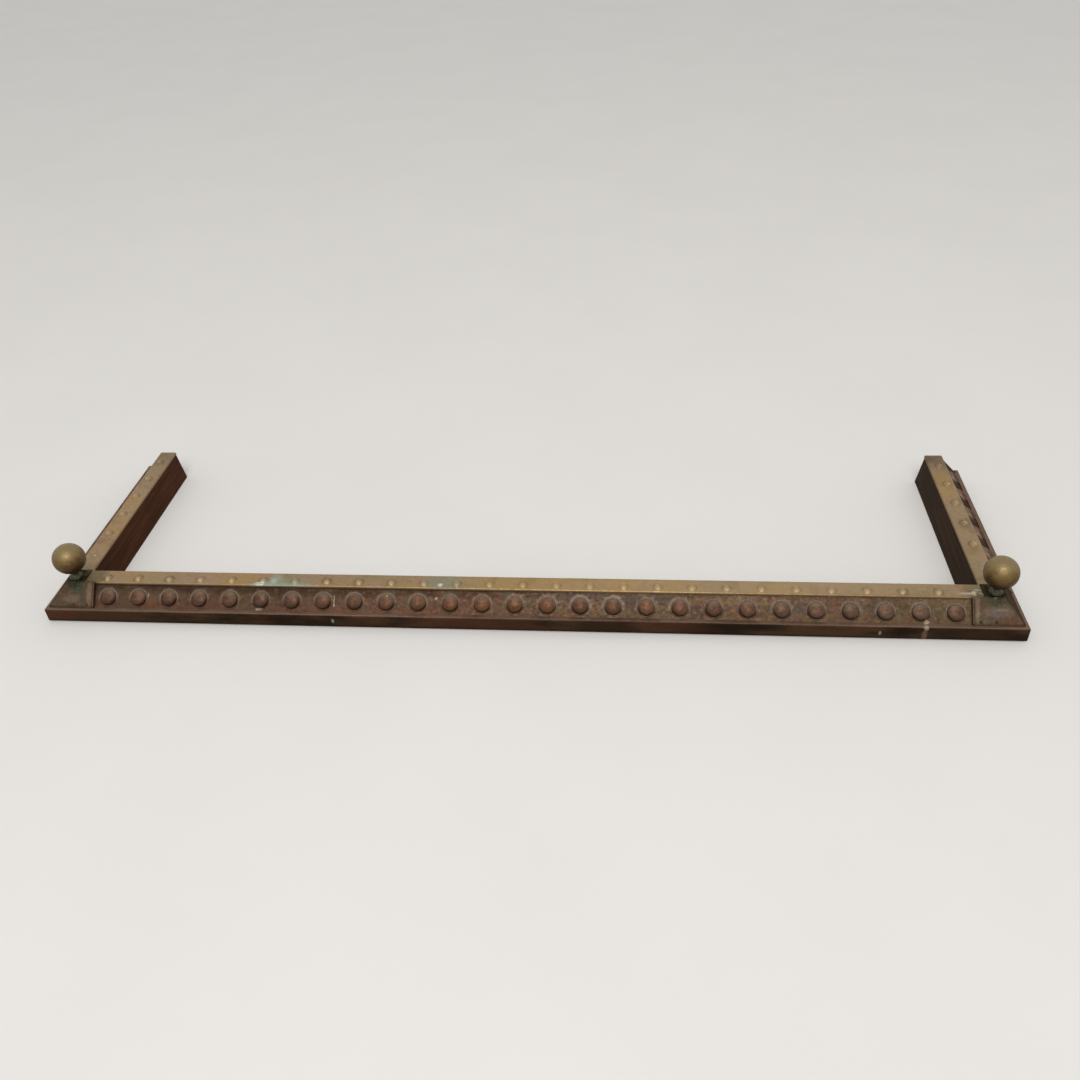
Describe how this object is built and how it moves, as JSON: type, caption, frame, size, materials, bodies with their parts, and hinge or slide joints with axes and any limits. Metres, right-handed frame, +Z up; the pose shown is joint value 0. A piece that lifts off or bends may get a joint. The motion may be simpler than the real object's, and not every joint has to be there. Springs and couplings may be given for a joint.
{
  "type": "fire fender",
  "caption": "Low U-shaped hearth fender: raked copper facings with beaten bosses over stained timber rails, brass strips on top and ball finials at the front corners.",
  "frame": {"origin": "middle of the bounding box at floor level, under the middle of the hearth space", "axes": "+X along the front rail to the right-hand end, +Y from the front rail back towards the fireplace, +Z up"},
  "size_m": [1.37, 0.38, 0.1075],
  "materials": {
    "stained_timber": "dark red-brown stain, worn satin",
    "beaten_copper": "tarnished brown sheet copper, beaten, with green-grey bloom",
    "plinth_copper": "dark tarnished sheet copper, scuffed",
    "cap_copper": "grey-brown tarnished sheet copper",
    "strip_brass": "dull aged sheet brass with small stains",
    "ball_brass": "spun brass, olive tarnish, soft shine",
    "collar_brass": "turned brass, dark with verdigris",
    "nail_copper": "dark copper",
    "steel": "dull plain steel",
    "black_iron": "black wrought iron"
  },
  "bodies": {
    "root": {"front_core": "stained_timber", "left_core": "stained_timber", "right_core": "stained_timber", "front_facing": "beaten_copper", "left_facing": "beaten_copper", "right_facing": "beaten_copper", "front_plinth": "plinth_copper", "left_plinth": "plinth_copper", "right_plinth": "plinth_copper", "front_strip": "strip_brass", "left_strip": "strip_brass", "right_strip": "strip_brass", "left_cap": "cap_copper", "right_cap": "cap_copper", "left_ball": "ball_brass", "right_ball": "ball_brass", "left_collar": "collar_brass", "right_collar": "collar_brass", "left_rod": "steel", "right_rod": "steel", "left_washer": "steel", "right_washer": "steel", "left_nut": "steel", "right_nut": "steel", "left_strap": "black_iron", "right_strap": "black_iron", "corner_screws": "steel", "cap_nails": "nail_copper", "strip_pins": "strip_brass", "plinth_tacks": "black_iron"}
  },
  "joints": []
}
